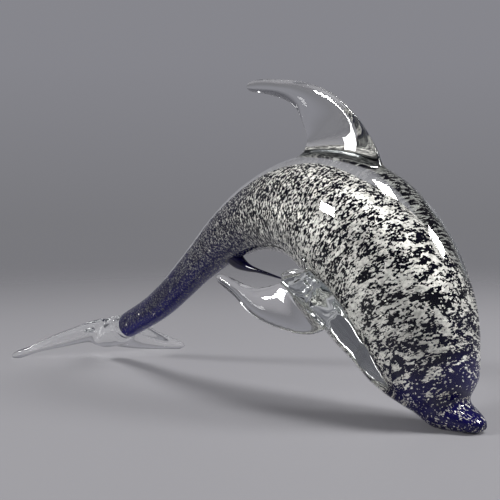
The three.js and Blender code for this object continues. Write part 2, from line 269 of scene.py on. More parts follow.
# %% Body dimensions
BODY_LENGTH = 229 * MM
ARCH_HEIGHT = 92.4 * MM
TAIL_HEIGHT = 18 * MM
HEAD_HEIGHT = 7 * MM
GIRTH_HIGH = 32.5 * MM
GIRTH_WIDE = 29 * MM
TOP_STATION = 5
BODY_STATIONS = np.array([
    (0, 0, 0.22, 0.25),
    (0.144, 0.229, 0.246, 0.276),
    (0.288, 0.564, 0.308, 0.345),
    (0.397, 0.8, 0.417, 0.48),
    (0.515, 0.959, 0.592, 0.655),
    (0.642, 1, 0.815, 0.87),
    (0.76, 0.902, 1, 1),
    (0.852, 0.714, 0.985, 0.983),
    (0.913, 0.48, 0.89, 0.914),
    (0.952, 0.258, 0.74, 0.776),
    (0.983, 0.093, 0.52, 0.586),
    (1, 0, 0.215, 0.31),
])
BEAK_REACH = 18 * MM
BEAK_TIP_HALF = 1.2 * MM


def axis_point(row, index):
    foot = TAIL_HEIGHT if index < TOP_STATION else HEAD_HEIGHT
    return (row[0] * BODY_LENGTH, 0, foot + row[1] * (ARCH_HEIGHT - foot))


axis_points = np.array([axis_point(row, i) for i, row in enumerate(BODY_STATIONS)])
girths = BODY_STATIONS[:, 2:] * (GIRTH_HIGH, GIRTH_WIDE)

ARC_SAMPLES = 4000
arc_share = np.linspace(0, 1, ARC_SAMPLES)
arc_points, _ = through(axis_points, arc_share)
arc = np.concatenate([[0], np.cumsum(np.linalg.norm(np.diff(arc_points, axis=0), axis=1))])
SPINE = arc[-1]
print(f"spine along the bend: {SPINE / MM:.1f} mm")


# %% Points on the body
def section(distance):
    """Centre, direction to the back, and half sizes, at distances from the tail."""
    t = np.interp(distance, arc, arc_share)
    centre, along = through(axis_points, t)
    return centre, quarter_turn(along), between(girths, t)


def on_body(distance, angle, out):
    """Points round the body. The angle is 0 along the back and pi along the belly."""
    distance, angle = np.broadcast_arrays(np.atleast_1d(distance), np.atleast_1d(angle))
    centre, back, size = section(distance)
    points = centre + back * ((size[:, 0] + out) * np.cos(angle))[:, None]
    points[:, 1] -= (size[:, 1] + out) * np.sin(angle)
    return points


# %% [markdown]
# ## From rings to a closed skin
#
# A loft joins rings of equal length with quads and shuts each end with a fan. The direction that
# the rings run in decides which way its faces point, so the volume's sign is tested and the
# faces are turned if it is negative.

# %% Loft helpers
def new_object(name, vertices, faces):
    mesh = bpy.data.meshes.new(name)
    mesh.from_pydata([tuple(v) for v in vertices], [], faces)
    mesh.update()
    return placed(name, mesh)


def loft(rings):
    """Vertices and outward faces of a closed skin through rings, an array (rings, sides, 3)."""
    count, sides, _ = rings.shape
    first, last = rings[0].mean(0), rings[-1].mean(0)
    vertices = np.vstack([rings.reshape(-1, 3), first, last])
    faces = []
    for i in range(count - 1):
        for j in range(sides):
            a, b = i * sides + j, i * sides + (j + 1) % sides
            faces.append((a, b, b + sides, a + sides))
    start, end = count * sides, count * sides + 1
    foot = (count - 1) * sides
    for j in range(sides):
        k = (j + 1) % sides
        faces.append((start, k, j))
        faces.append((end, foot + j, foot + k))
    total = 0.0
    for face in faces:
        a = vertices[face[0]]
        for k in range(1, len(face) - 1):
            total += a @ np.cross(vertices[face[k]], vertices[face[k + 1]])
    if total < 0:
        faces = [face[::-1] for face in faces]
    return vertices, faces


# %% [markdown]
# ## The frame's own place
#
# The stations count from the tail's end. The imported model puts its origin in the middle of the
# footprint, so the shift between the two comes from where the beak's tip lies in the frame.

# %% Where the tail's end lies
beak_points = np.array([
    (-14, 11.0, 6.0, 9.0),
    (-3, 7.2, 7.8, 12.0),
    (6, 5.6, 6.4, 10.5),
    (12, 4.2, 4.6, 8.0),
    (16, 3.2, 2.8, 5.2),
    (18, 2.8, 1.2, 2.4),
]) * MM
_, beak_tip_along = through(on_middle_plane(beak_points), [1.0])
tip_x = BODY_LENGTH + BEAK_REACH + BEAK_TIP_HALF * abs(beak_tip_along[0, 2])
SHIFT = np.array([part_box("cobalt_core")[1].x - tip_x, 0, 0])
print(f"the tail's end is at x = {SHIFT[0] / MM:.1f} mm")


# %% Bodies, spindles and blades
LOFT_SIDES, LOFT_STEP = 96, 1.4 * MM


def body_rings(start, stop, out_at, lean_at=None):
    """Rings of the bent body. From angle and distance, out_at gives the distance outside it,
    and lean_at the push along it toward the tail."""
    distances = np.linspace(start, stop, max(4, int((stop - start) / LOFT_STEP)))
    angles = np.linspace(0, 2 * np.pi, LOFT_SIDES, endpoint=False)
    d, a = np.meshgrid(distances, angles, indexing="ij")
    points = on_body(d.ravel(), a.ravel(), out_at(a.ravel(), d.ravel()))
    if lean_at:
        _, back, _ = section(d.ravel())
        points += quarter_turn(back) * lean_at(a.ravel(), d.ravel())[:, None]
    return points.reshape(len(distances), LOFT_SIDES, 3) + SHIFT


def spindle_rings(stations, anchor, steps=60, sides=48):
    """Rings across a bent spindle. Stations hold x and z from the anchor, half height, half width."""
    t = np.linspace(0, 1, steps)
    centre, along = through(on_middle_plane(stations) + anchor, t)
    size, up = between(stations[:, 2:], t), quarter_turn(along)
    turn = np.linspace(0, 2 * np.pi, sides, endpoint=False)
    rings = centre[:, None] + up[:, None] * (size[:, :1] * np.cos(turn))[..., None]
    rings[..., 1] += size[:, 1:] * np.sin(turn)
    return rings + SHIFT


def blade_rings(lead, trail, thick, normal, steps=70, sides=40):
    """Rings of a pressed blade between two edge curves. Places are in the frame already."""
    t = np.linspace(0, 1, steps)
    front, _ = through(lead, t)
    rear, _ = through(trail, t)
    width = between(np.asarray(thick)[:, None], t)[:, :1]
    centre, half = (front + rear) / 2, (front - rear) / 2
    turn = np.linspace(0, 2 * np.pi, sides, endpoint=False)
    across = np.asarray(normal) * (width / 2)
    cosine, sine = np.cos(turn)[None, :, None], np.sin(turn)[None, :, None]
    return centre[:, None] + half[:, None] * cosine + across[:, None] * sine


# %% [markdown]
# ## The clear bits
#
# Each clear bit is first made as its own closed shape, exactly where the frame holds it. They
# are fused further down, as they are at the furnace.

# %% Chest
CHEST_FROM, CHEST_FULL, CHEST_TO = 0.665, 0.7, 1.0
CHEST_LEAN, CHEST_UPRIGHT = 12 * MM, 0.8
CHEST_THICK, CHEST_SUNK = 11 * MM, 2.5 * MM
CHEST_SPREAD, CHEST_EDGE = 72.0, 20.0
CHEST_ROUNDING, CHEST_THINNING = 0.05, 2.6


def smoothstep(low, high, value):
    x = np.clip((value - low) / (high - low), 0, 1)
    return x * x * (3 - 2 * x)


def chest_reach(angle, distance):
    share = distance / SPINE
    off = np.abs(180 - np.degrees(angle))
    swell = smoothstep(CHEST_FROM + CHEST_ROUNDING * (off / CHEST_SPREAD) ** 2, CHEST_FULL, share)
    thinning = np.maximum(0, (share - CHEST_FULL) / (CHEST_TO - CHEST_FULL))
    across = 1 - smoothstep(CHEST_SPREAD - CHEST_EDGE, CHEST_SPREAD, off)
    return (CHEST_THICK + CHEST_SUNK) * swell * (1 - thinning**CHEST_THINNING) * across - CHEST_SUNK


def chest_lean(angle, distance):
    """The front edge leans toward the tail, more where the bit stands further out."""
    stand = smoothstep(0, CHEST_THICK, chest_reach(angle, distance))
    return CHEST_LEAN * stand * (1 - smoothstep(CHEST_FULL, CHEST_UPRIGHT, distance / SPINE))


# %% Dorsal fin
DORSAL_SHARE = 0.68
DORSAL = np.array([
    (-3, -5, -53, -5, 17),
    (-4, 6, -51, 7, 13),
    (-9.5, 15.5, -48.5, 14, 8),
    (-18, 25.5, -51.5, 22, 5.5),
    (-32, 36, -56, 29.5, 5),
    (-50, 42.3, -63.5, 34, 5),
    (-66, 44.3, -73, 36.6, 5.5),
    (-80, 45, -81, 38, 6),
    (-87, 44.2, -87.2, 39.2, 5.4),
    (-89.6, 42.6, -89.6, 40.6, 2.4),
]) * MM
dorsal_root = on_body(SPINE * DORSAL_SHARE, 0.0, 0)[0] + SHIFT


def dorsal_edge(columns):
    return on_middle_plane(DORSAL[:, columns]) + dorsal_root


dorsal = blade_rings(dorsal_edge([0, 1]), dorsal_edge([2, 3]), DORSAL[:, 4], (0, 1, 0))

# %% Pectoral fins
PECTORAL_SHARE, PECTORAL_ANGLE, PECTORAL_OUT = 0.74, math.radians(130), 8 * MM
PECTORAL_PITCH, PECTORAL_SPLAY = math.radians(35), math.radians(25)
PECTORAL = np.array([
    (-5, 12, -5, -5, 9),
    (3, 15.2, 0, -15, 7),
    (12, 10.5, 6, -19.5, 4.4),
    (18.5, 0, 11, -23, 4),
    (23, -10, 15, -27, 4),
    (25.3, -20, 17.4, -31.5, 4.8),
    (25.6, -32, 19.8, -38, 5.4),
    (26.8, -42.5, 22.6, -45, 4.6),
    (26.4, -46, 24.8, -47, 2),
]) * MM


def pectoral(side):
    forward = np.array([math.cos(PECTORAL_PITCH), 0, -math.sin(PECTORAL_PITCH)])
    away = np.array([-math.sin(PECTORAL_PITCH), 0, -math.cos(PECTORAL_PITCH)])
    away = away * math.cos(PECTORAL_SPLAY) + np.array([0, side * math.sin(PECTORAL_SPLAY), 0])
    root = on_body(SPINE * PECTORAL_SHARE, -side * PECTORAL_ANGLE, PECTORAL_OUT)[0] + SHIFT
    lead = root + PECTORAL[:, :1] * away + PECTORAL[:, 1:2] * forward
    trail = root + PECTORAL[:, 2:3] * away + PECTORAL[:, 3:4] * forward
    return blade_rings(lead, trail, PECTORAL[:, 4], np.cross(away, forward))


# %% Flukes and the tail's knuckle
FLUKE_RIGHT = np.array([
    (0, 3, 22, -20, 3, 8, 8),
    (-6, -10, 23, -27, -7, 8, 8),
    (-17, -24, 17.5, -35, -20, 5.5, 6.5),
    (-30, -36, 10.5, -41, -33, 3.2, 5),
    (-42, -44.8, 3.8, -46, -43.5, 0.2, 4.4),
    (-46, -47, 1.8, -47.4, -46.4, 0.2, 2.4),
]) * MM
FLUKE_LEFT = np.array([
    (0, -3, 22, -20, -3, 8, 8),
    (4, 11, 19, -22, 7, 4.5, 7.5),
    (4, 24, 12.5, -16, 20, 2, 6),
    (3.5, 35, 7.5, -9, 33, 0.8, 4.8),
    (1.5, 44, 3.6, -3.5, 43, 0.4, 4),
    (0, 47, 2, -2, 46.6, 0.4, 2),
]) * MM


def fluke(stations):
    lead, trail = stations[:, :3] + SHIFT, stations[:, 3:6] + SHIFT
    normal = np.cross(lead[1] - trail[1], lead[-1] - lead[1])
    return blade_rings(lead, trail, stations[:, 6], normal / np.linalg.norm(normal))


KNUCKLE = np.array([
    (-3, -1.4, 7.6, 8.4),
    (-10, -4.8, 7.4, 9.2),
    (-17, -8, 5.6, 8.4),
    (-23, -10.8, 2.6, 5),
]) * MM

# %% All the clear shapes
clear_shapes = {
    "body": loft(body_rings(0, SPINE, lambda a, d: 0 * a)),
    "beak": loft(spindle_rings(beak_points, np.array([BODY_LENGTH, 0, 0]))),
    "chest": loft(body_rings(SPINE * CHEST_FROM, SPINE * CHEST_TO, chest_reach, chest_lean)),
    "dorsal": loft(dorsal),
    "pectoral_right": loft(pectoral(-1)),
    "pectoral_left": loft(pectoral(1)),
    "knuckle": loft(spindle_rings(KNUCKLE, axis_points[0])),
    "fluke_right": loft(fluke(FLUKE_RIGHT)),
    "fluke_left": loft(fluke(FLUKE_LEFT)),
}
for name, (vertices, faces) in clear_shapes.items():
    print(f"{name:15s} {len(faces):6d} faces, box {np.ptp(vertices, axis=0).round(4) / MM} mm")

# %% [markdown]
# ## Fusing hot glass
#
# Hot glass that touches flows into one body, with a soft fillet where the pieces meet. Light
# also has to see one body: a wall left inside the glass would bend it a second time. So the
# shapes are remeshed into one skin, and each of its points is then moved onto a blend of the
# exact shapes. Away from a joint that blend is the shape itself. Near one it is a fillet, which
# is sharper round the chest bit and the pectoral fins, where the real joints keep a crease.
#
# A point beside the rim of a flat end can be read as inside a shape by mistake. So it counts as
# inside only where it is clearly behind the nearest face, and no point may move far.

# %% The fused skin
VOXEL = 0.9 * MM
FILLET = 4.0 * MM
SHARP = {"pectoral_right": 1.6 * MM, "pectoral_left": 1.6 * MM, "chest": 2.0 * MM}
NEAR = 9.0 * MM
INWARD = 0.3
FURTHEST = 2.2 * MM
SETTLE_ROUNDS, SETTLED = 4, 0.01 * MM
ON_FACE = 1e-6


def join_rough(shapes):
    vertices, faces, start = [], [], 0
    for points, polygons in shapes.values():
        vertices.append(points)
        faces += [tuple(start + k for k in polygon) for polygon in polygons]
        start += len(points)
    return new_object("rough", np.vstack(vertices), faces)


def take_shape(piece, name):
    """A new piece with the mesh that another one's modifiers give."""
    evaluated = piece.evaluated_get(bpy.context.evaluated_depsgraph_get())
    mesh = bpy.data.meshes.new_from_object(evaluated)
    mesh.name = name
    return placed(name, mesh)


def fused(name, shapes):
    rough = join_rough(shapes)
    remesh = rough.modifiers.new("remesh", "REMESH")
    remesh.mode = "VOXEL"
    remesh.voxel_size = VOXEL
    piece = take_shape(rough, name)
    bpy.data.objects.remove(rough)
    return piece


def blended_distance(point, sources):
    """Distance outside a smooth union of the sources, and the way out of it."""
    total, way = None, None
    for tree, low, high, fillet in sources:
        if any(point[k] < low[k] - NEAR or point[k] > high[k] + NEAR for k in range(3)):
            continue
        place, normal, _, gap = tree.find_nearest(point)
        away = point - place
        inside = away.dot(normal) < -INWARD * gap
        value = -gap if inside else gap
        direction = normal if gap < ON_FACE else (-away if inside else away) / gap
        if total is None:
            total, way = value, direction
            continue
        h = max(fillet - abs(total - value), 0) / fillet
        share = 0.5 * h if value > total else 1 - 0.5 * h
        total = min(total, value) - h * h * fillet / 4
        way = way.lerp(direction, share)
    return total, way.normalized()


def settle(piece, shapes):
    """Moves a skin's points onto the smooth union of the shapes."""
    sources = []
    for name, (vertices, faces) in shapes.items():
        tree = BVHTree.FromPolygons([tuple(v) for v in vertices], faces)
        sources.append((tree, vertices.min(0), vertices.max(0), SHARP.get(name, FILLET)))
    for vertex in piece.data.vertices:
        point = vertex.co.copy()
        for _ in range(SETTLE_ROUNDS):
            gap, way = blended_distance(point, sources)
            point -= way * gap
            if abs(gap) < SETTLED:
                break
        if (point - vertex.co).length < FURTHEST:
            vertex.co = point
    piece.data.update()


skin = fused("clear_glass_skin", clear_shapes)
settle(skin, clear_shapes)
print(f"skin: {len(skin.data.vertices)} points, {len(skin.data.polygons)} faces")

# %% Stand it flat, and even out the skin
SOFTEN_ROUNDS = 3


def flatten_and_soften(piece):
    build = bmesh.new()
    build.from_mesh(piece.data)
    for _ in range(SOFTEN_ROUNDS):
        bmesh.ops.smooth_vert(build, verts=build.verts, factor=0.5,
                              use_axis_x=True, use_axis_y=True, use_axis_z=True)
    for vertex in build.verts:
        vertex.co.z = max(vertex.co.z, 0.0)
    build.to_mesh(piece.data)
    build.free()
    piece.data.shade_smooth()


flatten_and_soften(skin)

# %% [markdown]
# ## The core under the glass
#
# A round glass body magnifies what lies inside it. Seen square on, glass of index 1.5 does so by
# a half. Seen aslant it does more, because the light bends more across the body: at 45 degrees
# it is nearly 1.9 times. A core that is magnified to the rim hides the clear band. So the core
# is slim and sits low, and the clear gather is over half of the half height along the middle
# of the back, which is seen most aslant. CORE_HIGH holds that share, from the tail to the head.
# The tail end of the core is rounded off, as it looks in the photograph.

# %% The core
CORE_LOW = 0.06
CORE_HIGH = np.array([
    (0.0, 0.47), (0.3, 0.49), (0.5, 0.54), (0.65, 0.56), (0.75, 0.50),
    (0.82, 0.43), (0.93, 0.40), (0.97, 0.28), (1.0, 0.12),
])
CORE_BIAS = 0.75
CORE_START, CORE_STOP = 1.5 * MM, SPINE - 1.5 * MM
CORE_ROUND_END, CORE_END_WIDTH = 6 * MM, 0.42
BEAK_SHARE, BEAK_SHORTER = 0.86, 1 * MM


def clear_depth(angle, distance):
    """Clear glass over the core, less than nothing because it lies inside the skin."""
    _, _, size = section(distance)
    high = np.interp(distance / SPINE, CORE_HIGH[:, 0], CORE_HIGH[:, 1])
    toward = ((1 + np.cos(angle)) / 2) ** CORE_BIAS
    share = CORE_LOW + (high - CORE_LOW) * toward
    inward = np.clip((distance - CORE_START) / CORE_ROUND_END, 0, 1)
    rounded = CORE_END_WIDTH + (1 - CORE_END_WIDTH) * np.sqrt(1 - (1 - inward) ** 2)
    return -(1 - (1 - share) * rounded) * size[:, 0]


slim_beak = beak_points * (1, 1, BEAK_SHARE, BEAK_SHARE)
slim_beak[-1, 0] -= BEAK_SHORTER
core_shapes = {
    "core_body": loft(body_rings(CORE_START, CORE_STOP, clear_depth)),
    "core_beak": loft(spindle_rings(slim_beak, np.array([BODY_LENGTH, 0, 0]))),
}
core = fused("leafed_core", core_shapes)
settle(core, core_shapes)
flatten_and_soften(core)
print(f"core: {len(core.data.polygons)} faces")

# %% [markdown]
# ## Straightened coordinates
#
# The leaf was rolled on while the gather was straight, and cracked as it was stretched. Its
# pattern has to bend with the body. So every point of the core is given its place on the body as
# it was before bending: two coordinates across the section and one along the spine.

# %% Marks on the core
BEAK_OUTSIDE = 2
BEAK_SAMPLES, SPINE_STRIDE = 60, 8
BATCH = 4000


def straightened(points):
    """Place before bending, in mm, and the share along the spine, which passes 1 on the beak."""
    beak_line, _ = through(
        on_middle_plane(beak_points[BEAK_OUTSIDE:]) + (BODY_LENGTH, 0, 0),
        np.linspace(0, 1, BEAK_SAMPLES),
    )
    line = np.vstack([arc_points[::SPINE_STRIDE], beak_line]) + SHIFT
    steps = np.linalg.norm(np.diff(line, axis=0), axis=1)
    length = np.concatenate([[0], np.cumsum(steps)])
    along = np.gradient(line, axis=0)
    along /= np.linalg.norm(along, axis=1)[:, None]
    places = np.zeros((len(points), 3))
    for start in range(0, len(points), BATCH):
        part = points[start:start + BATCH]
        nearest = ((part[:, None] - line[None]) ** 2).sum(2).argmin(1)
        offset = part - line[nearest]
        back = quarter_turn(along[nearest])
        slide = (offset * along[nearest]).sum(1)
        places[start:start + BATCH] = np.stack(
            [(offset * back).sum(1), -offset[:, 1], length[nearest] + slide], 1)
    return places / MM, places[:, 2] / SPINE


def mark(piece):
    points = np.empty(len(piece.data.vertices) * 3)
    piece.data.vertices.foreach_get("co", points)
    places, along = straightened(points.reshape(-1, 3))
    across = np.arctan2(places[:, 1], places[:, 0])
    for label, kind, key, values in (
        ("leaf_coord", "FLOAT_VECTOR", "vector", places),
        ("leaf_along", "FLOAT", "value", along),
        ("leaf_toward", "FLOAT", "value", (1 + np.cos(across)) / 2),
    ):
        attribute = piece.data.attributes.new(label, kind, "POINT")
        attribute.data.foreach_set(key, np.asarray(values, np.float32).ravel())


mark(core)

# %% [markdown]
# ## The belly fin
#
# A wisp of the core was caught with a pin and drawn forward. It is the same cobalt glass, wide
# where it leaves the belly and as thin as a thread at its end.

# %% Belly fin
BELLY_FIN_SHARE = 0.37
WISP = np.array([
    (-8, 3, 5, 5),
    (-1, -2, 4, 3.4),
    (6, -4.6, 2.2, 2),
    (13, -5.7, 1.2, 1.2),
    (21, -6.9, 0.8, 0.8),
    (32, -8.7, 0.4, 0.4),
]) * MM
wisp_root = on_body(SPINE * BELLY_FIN_SHARE, math.pi, 0)[0]
belly_fin = new_object("belly_wisp", *loft(spindle_rings(WISP, wisp_root, steps=90, sides=36)))
belly_fin.data.shade_smooth()

# %% [markdown]
# ## Finishes
#
# Four finishes make the whole piece. Each is built from patterns, so it is sharp at any size.
# A small helper joins nodes, and another does one step of arithmetic on a pattern.

# %% Node helpers
class Shade:
    """One material under construction."""

    def __init__(self, name):
        self.material = bpy.data.materials.new(name)
        self.material.use_nodes = True
        self.tree = self.material.node_tree
        self.shader = self.tree.nodes["Principled BSDF"]

    def set(self, **sockets):
        for name, value in sockets.items():
            self.shader.inputs[name.replace("_", " ")].default_value = value

    def link(self, source, target):
        self.tree.links.new(source, target)

    def marked(self, name, output="Fac"):
        made = node(self.tree, "ShaderNodeAttribute")
        made.attribute_name = name
        return made.outputs[output]

    def math(self, operation, *values, clamp=False):
        made = node(self.tree, "ShaderNodeMath")
        made.operation, made.use_clamp = operation, clamp
        for socket, value in zip(made.inputs, values):
            if isinstance(value, (int, float)):
                socket.default_value = value
            else:
                self.link(value, socket)
        return made.outputs[0]

    def noise(self, vector, stretch, detail=2.0, rough=0.55, warp=0.0, shift=0.0):
        """Noise whose cells are as long as stretch says along each axis."""
        place = node(self.tree, "ShaderNodeMapping")
        place.inputs["Scale"].default_value = tuple(1 / s for s in stretch)
        place.inputs["Location"].default_value = (shift, shift * 0.7, shift * 1.3)
        made = node(self.tree, "ShaderNodeTexNoise", Scale=1.0, Detail=detail, Roughness=rough,
                    Distortion=warp)
        self.link(vector, place.inputs["Vector"])
        self.link(place.outputs["Vector"], made.inputs["Vector"])
        return made.outputs["Fac"]

    def curve(self, value, points):
        """One number from another, in straight lines through (value, result) points."""
        low, high = points[0][0], points[-1][0]
        ramp = node(self.tree, "ShaderNodeValToRGB")
        reach = node(self.tree, "ShaderNodeMapRange", From_Min=low, From_Max=high)
        self.link(value, reach.inputs["Value"])
        self.link(reach.outputs["Result"], ramp.inputs["Fac"])
        marks = [((at - low) / (high - low), (result, result, result)) for at, result in points]
        fill_ramp(ramp.color_ramp, marks)
        return ramp.outputs["Color"]

    def mix(self, share, first, second):
        made = node(self.tree, "ShaderNodeMix")
        made.data_type = "RGBA"
        factor, colour_a, colour_b = made.inputs[0], made.inputs[6], made.inputs[7]
        for socket, value in ((factor, share), (colour_a, first), (colour_b, second)):
            if isinstance(value, tuple):
                socket.default_value = (*value, 1)
            else:
                self.link(value, socket)
        return made.outputs[2]

    def bump(self, height, strength, distance):
        made = node(self.tree, "ShaderNodeBump", Strength=strength, Distance=distance)
        self.link(height, made.inputs["Height"])
        self.link(made.outputs["Normal"], self.shader.inputs["Normal"])


# %% [markdown]
# ### Clear glass
#
# The skin is left plain where it can be: a true glass with a breath of green where it is deep.
# A tool and the heat leave slow waves in it, far longer than they are high.

# %% Clear glass
GLASS_INDEX = 1.5
WAVE_LENGTH, WAVE_HEIGHT, WAVE_STRENGTH = 14 * MM, 0.5 * MM, 0.25
DEEP_GLASS, GLASS_DENSITY = (0.72, 0.86, 0.80), 3.0


def clear_glass():
    glass = Shade("clear_glass")
    glass.set(Base_Color=(1, 1, 1, 1), Transmission_Weight=1.0, Roughness=0.0, IOR=GLASS_INDEX)
    place = node(glass.tree, "ShaderNodeTexCoord").outputs["Object"]
    waves = glass.noise(place, (WAVE_LENGTH, WAVE_LENGTH, WAVE_LENGTH), detail=1.0)
    glass.bump(waves, WAVE_STRENGTH, WAVE_HEIGHT)
    depth = node(glass.tree, "ShaderNodeVolumeAbsorption", Density=GLASS_DENSITY)
    depth.inputs["Color"].default_value = (*DEEP_GLASS, 1)
    glass.link(depth.outputs["Volume"], glass.tree.nodes["Material Output"].inputs["Volume"])
    return glass.material


# %% [markdown]
# ### Cracked leaf on cobalt
#
# Leaf can't stretch, so it broke as the gather grew. The breaks run round the body, fine at the
# tail and wide at the head. Fine noise and coarse noise are added, and where the sum passes a
# bar there is leaf. The fine noise is tightest at the tail, and turns to streaks on the beak.
#
# The bar is high on the forehead and the beak, where the blue shows between loose flakes. It is
# also raised on the low side of the tail, which has the brightest blue. The core touches the
# glass round it, so its own surface mirrors nothing.

# %% Leaf on cobalt
# Pairs of a share along the spine, which passes 1 on the beak, and a value there
LEAF_BAR = (
    (0.0, 0.575), (0.12, 0.57), (0.3, 0.555), (0.45, 0.545), (0.6, 0.525),
    (0.8, 0.50), (0.9, 0.53), (0.94, 0.62), (0.98, 0.65), (1.06, 0.635),
)
COARSE_WEIGHT = ((0.0, 0.05), (0.45, 0.08), (0.62, 0.25), (0.78, 0.9), (0.93, 0.95), (1.06, 0.3))
BLUE_SHARE = (
    (0.0, 0.9), (0.2, 0.7), (0.35, 0.35), (0.5, 0.03),
    (0.85, 0.03), (0.92, 0.3), (0.955, 0.9), (1.06, 1.0),
)
TIGHT_SHARE = ((0.3, 1.0), (0.55, 0.0))
STREAK_SHARE = ((0.97, 0.0), (1.0, 1.0))
SHINE_SHARE = ((0.2, 0.0), (0.55, 1.0))
BARE_TAIL, BRIGHT_TAIL = ((0.05, 1.0), (0.5, 0.0)), ((0.02, 1.0), (0.5, 0.0))
# Pairs of how far round toward the back, from 0 at the belly to 1, and a value there
BARE_LOW, BRIGHT_LOW = ((0.05, 0.07), (0.5, 0.0)), ((0.05, 1.0), (0.4, 0.0))
# Cells of the patterns in mm, two ways across the body and along it
WIDE_CELLS, TIGHT_CELLS = (1.6, 1.6, 0.85), (0.85, 0.85, 0.6)
COARSE_CELLS, STREAK_CELLS = (7, 7, 3.2), (0.8, 0.8, 4.5)
TINT_CELLS, DRIFT_CELLS = (2.5, 2.5, 2.0), (16, 16, 11)
TINT_RANGE, DRIFT_RANGE = ((0.35, 0.0), (0.62, 1.0)), ((0.3, 0.55), (0.6, 1.0))
EDGE_SHARPNESS = 45.0
LEAF_METAL, COBALT_ROUGH, LEAF_ROUGHER = 0.2, 0.18, 0.25
LEAF_THICK, LEAF_RELIEF = 0.12 * MM, 0.5
LEAF_LIGHT, LEAF_DULL = (0.93, 0.91, 0.85), (0.50, 0.485, 0.45)
TAIL_DULL = (0.15, 0.15, 0.155)
COBALT_DEEP, COBALT_BLUE = (0.001, 0.001, 0.004), (0.005, 0.003, 0.08)
LOW_BLUE = (0.008, 0.006, 0.2)


def leaf_height(leaf, coord, along, toward):
    """How far the pattern stands over the bar."""
    def times(first, second):
        return leaf.math("MULTIPLY", first, second)

    wide = leaf.noise(coord, WIDE_CELLS, detail=2.0, rough=0.55, warp=0.4)
    tight = leaf.noise(coord, TIGHT_CELLS, detail=1.5, rough=0.5, warp=0.4, shift=3)
    tighter = times(leaf.math("SUBTRACT", tight, wide), leaf.curve(along, TIGHT_SHARE))
    fine = leaf.math("ADD", wide, tighter)
    streaks = leaf.noise(coord, STREAK_CELLS, detail=2.0, rough=0.6, shift=11)
    on_beak = leaf.curve(along, STREAK_SHARE)
    fine = leaf.math("ADD", times(fine, leaf.math("SUBTRACT", 1.0, on_beak)), times(streaks, on_beak))
    coarse = leaf.noise(coord, COARSE_CELLS, detail=1.5, rough=0.5, warp=1.0, shift=37)
    coarse = times(leaf.math("SUBTRACT", coarse, 0.5), leaf.curve(along, COARSE_WEIGHT))
    bare = times(leaf.curve(along, BARE_TAIL), leaf.curve(toward, BARE_LOW))
    bar = leaf.math("ADD", leaf.curve(along, LEAF_BAR), bare)
    return leaf.math("SUBTRACT", leaf.math("ADD", fine, coarse), bar)


def leafed_cobalt():
    leaf = Shade("leafed_cobalt")
    leaf.set(Specular_IOR_Level=0.0)
    coord = leaf.marked("leaf_coord", "Vector")
    along, toward = leaf.marked("leaf_along"), leaf.marked("leaf_toward")
    height = leaf_height(leaf, coord, along, toward)
    cover = leaf.math("MULTIPLY_ADD", height, EDGE_SHARPNESS, 0.5, clamp=True)
    tint = leaf.curve(leaf.noise(coord, TINT_CELLS, detail=3.0, rough=0.7, shift=5), TINT_RANGE)
    silver = leaf.mix(tint, LEAF_DULL, LEAF_LIGHT)
    silver = leaf.mix(leaf.curve(along, SHINE_SHARE), TAIL_DULL, silver)
    drift = leaf.curve(leaf.noise(coord, DRIFT_CELLS, detail=1.0, shift=23), DRIFT_RANGE)
    blue = leaf.math("MULTIPLY", leaf.curve(along, BLUE_SHARE), drift)
    cobalt = leaf.mix(blue, COBALT_DEEP, COBALT_BLUE)
    low_edge = leaf.math("MULTIPLY", leaf.curve(along, BRIGHT_TAIL), leaf.curve(toward, BRIGHT_LOW))
    cobalt = leaf.mix(low_edge, cobalt, LOW_BLUE)
    rough = leaf.math("MULTIPLY_ADD", cover, LEAF_ROUGHER, COBALT_ROUGH)
    leaf.link(leaf.mix(cover, cobalt, silver), leaf.shader.inputs["Base Color"])
    leaf.link(leaf.math("MULTIPLY", cover, LEAF_METAL), leaf.shader.inputs["Metallic"])
    leaf.link(rough, leaf.shader.inputs["Roughness"])
    leaf.bump(cover, LEAF_RELIEF, LEAF_THICK)
    return leaf.material


# %% Plain cobalt, for the wisp
def plain_cobalt():
    cobalt = Shade("plain_cobalt")
    coord = node(cobalt.tree, "ShaderNodeTexCoord").outputs["Object"]
    swirl = cobalt.noise(coord, (6 * MM, 6 * MM, 3 * MM), detail=2.0, warp=0.8)
    share = cobalt.curve(swirl, ((0.35, 0.0), (0.7, 0.45)))
    cobalt.link(cobalt.mix(share, COBALT_DEEP, COBALT_BLUE), cobalt.shader.inputs["Base Color"])
    cobalt.set(Roughness=0.05, IOR=GLASS_INDEX)
    return cobalt.material


# %% [markdown]
# ### Loose flakes
#
# Not all of the leaf lies flat. Crumbs of it were caught at different depths, and they show
# best over the blue of the head. They are real pieces of foil, scattered over the core.

# %% Flake finish
def flake_silver():
    foil = Shade("flake_silver")
    coord = node(foil.tree, "ShaderNodeTexCoord").outputs["Object"]
    shade = foil.noise(coord, (1.6 * MM, 1.6 * MM, 1.6 * MM), detail=2.0)
    foil.link(foil.mix(foil.curve(shade, ((0.38, 0.0), (0.6, 1.0))), LEAF_DULL, LEAF_LIGHT),
              foil.shader.inputs["Base Color"])
    foil.link(foil.math("MULTIPLY_ADD", shade, 0.3, 0.22), foil.shader.inputs["Roughness"])
    foil.set(Metallic=0.4)
    foil.bump(shade, 0.3, 0.1 * MM)
    return foil.material


# %% Scatter the flakes
FLAKE_SIDES, FLAKE_DEPTH = 7, 0.16
FLAKE_LEAST, FLAKE_MOST = (0.5, 0.35, 0.5), (1.5, 0.95, 1.0)
TEAR = 0.7 * MM


